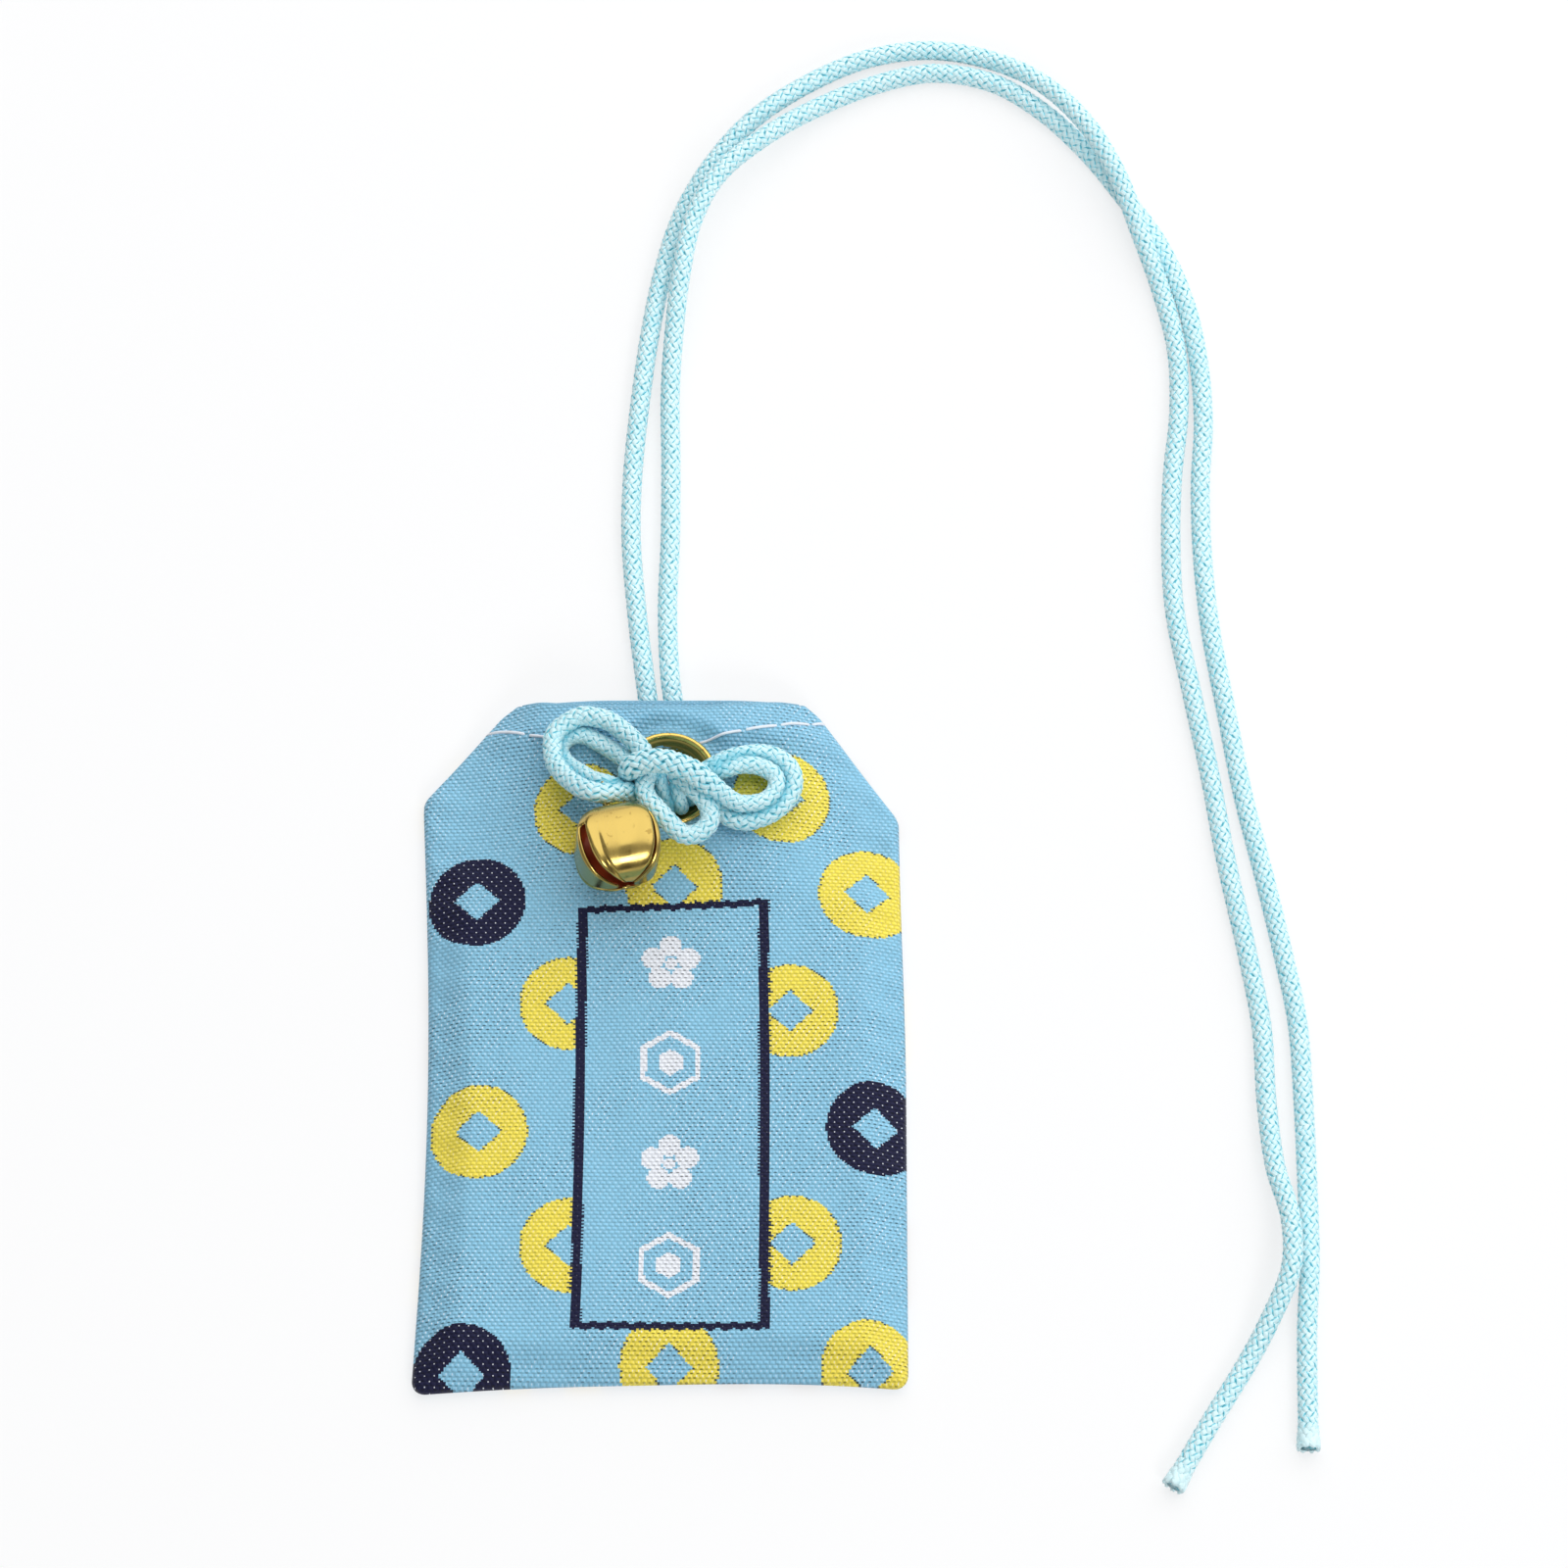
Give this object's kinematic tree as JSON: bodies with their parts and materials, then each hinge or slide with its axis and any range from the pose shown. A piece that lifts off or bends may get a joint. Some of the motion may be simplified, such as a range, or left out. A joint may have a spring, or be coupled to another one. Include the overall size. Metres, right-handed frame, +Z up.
{
  "type": "omamori charm",
  "caption": "Flat sewn cloth charm pouch lying on its back, with a brass eyelet, a cord tied through it in a bow with two long loose strands, and a small jingle bell hung on the bow.",
  "frame": {"origin": "under the middle of the pouch, on the surface that it lies on", "axes": "+X to the right across the pouch, +Y along the pouch towards its mouth, +Z up out of the front cloth"},
  "size_m": [0.0744, 0.1333, 0.0115],
  "materials": {
    "brocade": "woven brocade with raised coin figures",
    "seam_thread": "spun sewing thread",
    "white_thread": "spun sewing thread",
    "card": "uncoated board",
    "paper": "uncoated paper",
    "brass": "polished",
    "cord": "smooth round braid",
    "bell_brass": "polished with fine scratches",
    "steel": "plain"
  },
  "bodies": {
    "pouch": {"back_panel": "brocade", "front_panel": "brocade", "seam_thread": "seam_thread", "front_hem_stitch": "white_thread", "back_hem_stitch": "white_thread", "inner_card": "card", "prayer_slip": "paper", "eyelet": "brass", "knot": "cord", "cord_left": "cord", "cord_right": "cord"},
    "bell": {"bell_shell": "bell_brass", "bell_loop": "bell_brass"},
    "pellet": {"bell_pellet": "steel"}
  },
  "joints": [
    {"name": "bell_swing", "type": "hinge", "parent": "pouch", "child": "bell", "pos_m": [-0.0051, 0.0215, 0.0081], "axis": [-0.9744, -0.225, 0], "range_deg": [0, 60]},
    {"name": "pellet_rattle", "type": "slide", "parent": "bell", "child": "pellet", "axis": [0.0094, -0.0407, 0.9991], "range_m": [0, 0.0033]}
  ]
}
